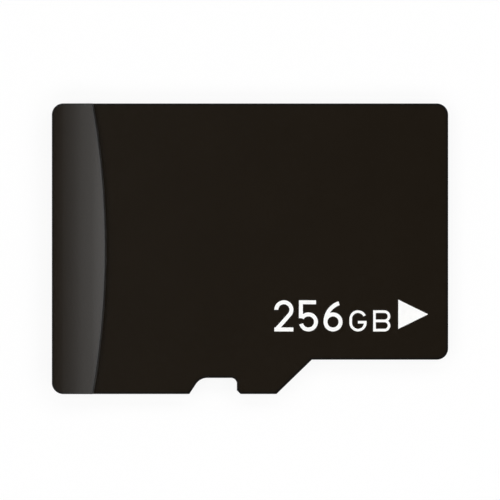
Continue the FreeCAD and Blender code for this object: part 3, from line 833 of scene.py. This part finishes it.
def tube_mesh(name, curve, radius):
    """The mesh of round tubes along all splines of a curve."""
    curve.dimensions = "3D"
    curve.bevel_depth = radius
    curve.bevel_resolution = TUBE_ROUNDNESS
    curve.resolution_u = TUBE_STEPS
    curve.use_fill_caps = True
    holder = bpy.data.objects.new(name, curve)
    mesh = bpy.data.meshes.new_from_object(holder)
    bpy.data.objects.remove(holder)
    return mesh


print("steps from one steering point to the next:", TUBE_STEPS)

# %% Press the ends
BALL = (2.3, 2.3, 0.9)
WEDGE = (2.4, 1.6, 0.5)
LUMP_AROUND = 14
LUMP_UP = 8


def pressed_end(shaper, place, radius, shape):
    """A lump of gold at the end of a wire, with its size in wire radii."""
    size = Matrix.Diagonal((*(side * radius for side in shape), 1))
    spot = Matrix.Translation(place) @ size
    bmesh.ops.create_uvsphere(shaper, u_segments=LUMP_AROUND, v_segments=LUMP_UP, radius=1, matrix=spot)


print("a ball in mm:", [round(2 * side * wire_radius(first_wire) / MM, 3) for side in BALL])

# %% Make the wires
def make_wires(node):
    """Round looped wires with pressed ends, in place of a CAD piece's straight ones."""
    curve = bpy.data.curves.new(node, "CURVE")
    wires = solids(node)
    radius = wire_radius(wires[0])
    for corners in wires:
        draw_spline(curve, loop_route(*wire_ends(corners)), order=4)
    mesh = tube_mesh(node, curve, radius)
    shaper = bmesh.new()
    shaper.from_mesh(mesh)
    for corners in wires:
        pad, foot = wire_ends(corners)[:2]
        pressed_end(shaper, pad, radius, BALL)
        pressed_end(shaper, foot, radius, WEDGE)
    shaper.to_mesh(mesh)
    shaper.free()
    add_piece(node + "_looped", mesh, "wire_gold", node)


for node in ("memory_stitch_wires", "memory_bond_wires", "controller_bond_wires"):
    make_wires(node)

# %% [markdown]
# ## Rounded blocks
# Fired ceramic, dipped end caps and etched fingers have no sharp edges. In the CAD model they are
# plain blocks. New blocks could be built from their sizes, but a bevel on a copy of each keeps its
# place and size by itself. The flat triangles are first joined into whole faces, or the bevel would
# also cut along the lines between them.

# %% Round the small blocks
ROUND_STEPS = 3
ROUND_PROFILE = 0.5
FLAT_ANGLE = math.radians(1)
CERAMIC_ROUND = 18 * MICRON
CAP_ROUND = 30 * MICRON
FINGER_ROUND = 8 * MICRON


def round_block(node, slot, width):
    """A copy of a CAD block with rounded edges, in its place."""
    shaper = welded(node)
    bmesh.ops.dissolve_limit(shaper, angle_limit=FLAT_ANGLE, verts=shaper.verts, edges=shaper.edges)
    bmesh.ops.bevel(
        shaper,
        geom=shaper.edges,
        affect="EDGES",
        offset=width,
        segments=ROUND_STEPS,
        profile=ROUND_PROFILE,
    )
    mesh = bpy.data.meshes.new(node)
    shaper.to_mesh(mesh)
    shaper.free()
    add_piece(node + "_rounded", mesh, slot, node)


for node in ("bulk_capacitor", "bypass_capacitor_1", "bypass_capacitor_2", "bypass_capacitor_3"):
    round_block(node, "capacitor_ceramic", CERAMIC_ROUND)
    round_block(node + "_terminals", "capacitor_tin", CAP_ROUND)
for node in ("memory_bond_fingers", "controller_bond_fingers"):
    round_block(node, "finger_gold", FINGER_ROUND)

# %% [markdown]
# ## Tracks under the mask
# On the contact side the copper tracks show through the solder mask as low ridges. From each contact
# a track runs back, longer towards the middle of the row, turns to the notch side and ends in a ring,
# where it passes through the board. Bump could fake them, but a ridge in the mesh also shows from the
# side. They are tubes along a route, pressed nearly flat, so half of each lies in the board.

# %% Raise the tracks
TRACK_WIDTH = 0.16 * MM
TRACK_RISE = 6 * MICRON
TRACK_START = 30 * MICRON
SHORT_TRACK = 1.0 * MM
TRACK_STEP = 0.45 * MM
TRACK_SHIFT = 0.55 * MM
RING_RADIUS = 0.16 * MM
RING_POINTS = 12

contacts = sorted(name for name in frame["nodes"] if name.startswith("contact_"))
board_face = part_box("circuit_board")[0].z
curve = bpy.data.curves.new("mask_tracks", "CURVE")
turns = [2 * math.pi * step / RING_POINTS for step in range(RING_POINTS)]
for number, contact in enumerate(contacts):
    low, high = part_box(contact)
    steps = min(number, len(contacts) - 1 - number)
    start = Vector((low.x - TRACK_START, (low.y + high.y) / 2, 0))
    bend = start - Vector((SHORT_TRACK + TRACK_STEP * steps, 0, 0))
    ring = bend - Vector((TRACK_SHIFT, TRACK_SHIFT, 0))
    ring_edge = ring + RING_RADIUS * (bend - ring).normalized()
    circle = [ring + RING_RADIUS * Vector((math.cos(turn), math.sin(turn), 0)) for turn in turns]
    draw_spline(curve, [start, bend, ring_edge], order=2)
    draw_spline(curve, circle, order=4, closed=True)
tracks = tube_mesh("mask_tracks", curve, TRACK_WIDTH / 2)
flatten = Matrix.Diagonal((1, 1, TRACK_RISE / (TRACK_WIDTH / 2), 1))
tracks.transform(Matrix.Translation((0, 0, board_face)) @ flatten)
add_piece("mask_tracks", tracks, "board_mask")

# %% [markdown]
# The card must come out as big as it went in, but for the height of the tracks. We print how far
# each corner of its box has moved.

# %% Write the sizes
visual_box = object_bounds()
for end, new, old in zip(("lowest", "highest"), visual_box, cad_box):
    print(end, "corner moved, in mm:", [round((a - b) / MM, 4) for a, b in zip(new, old)])
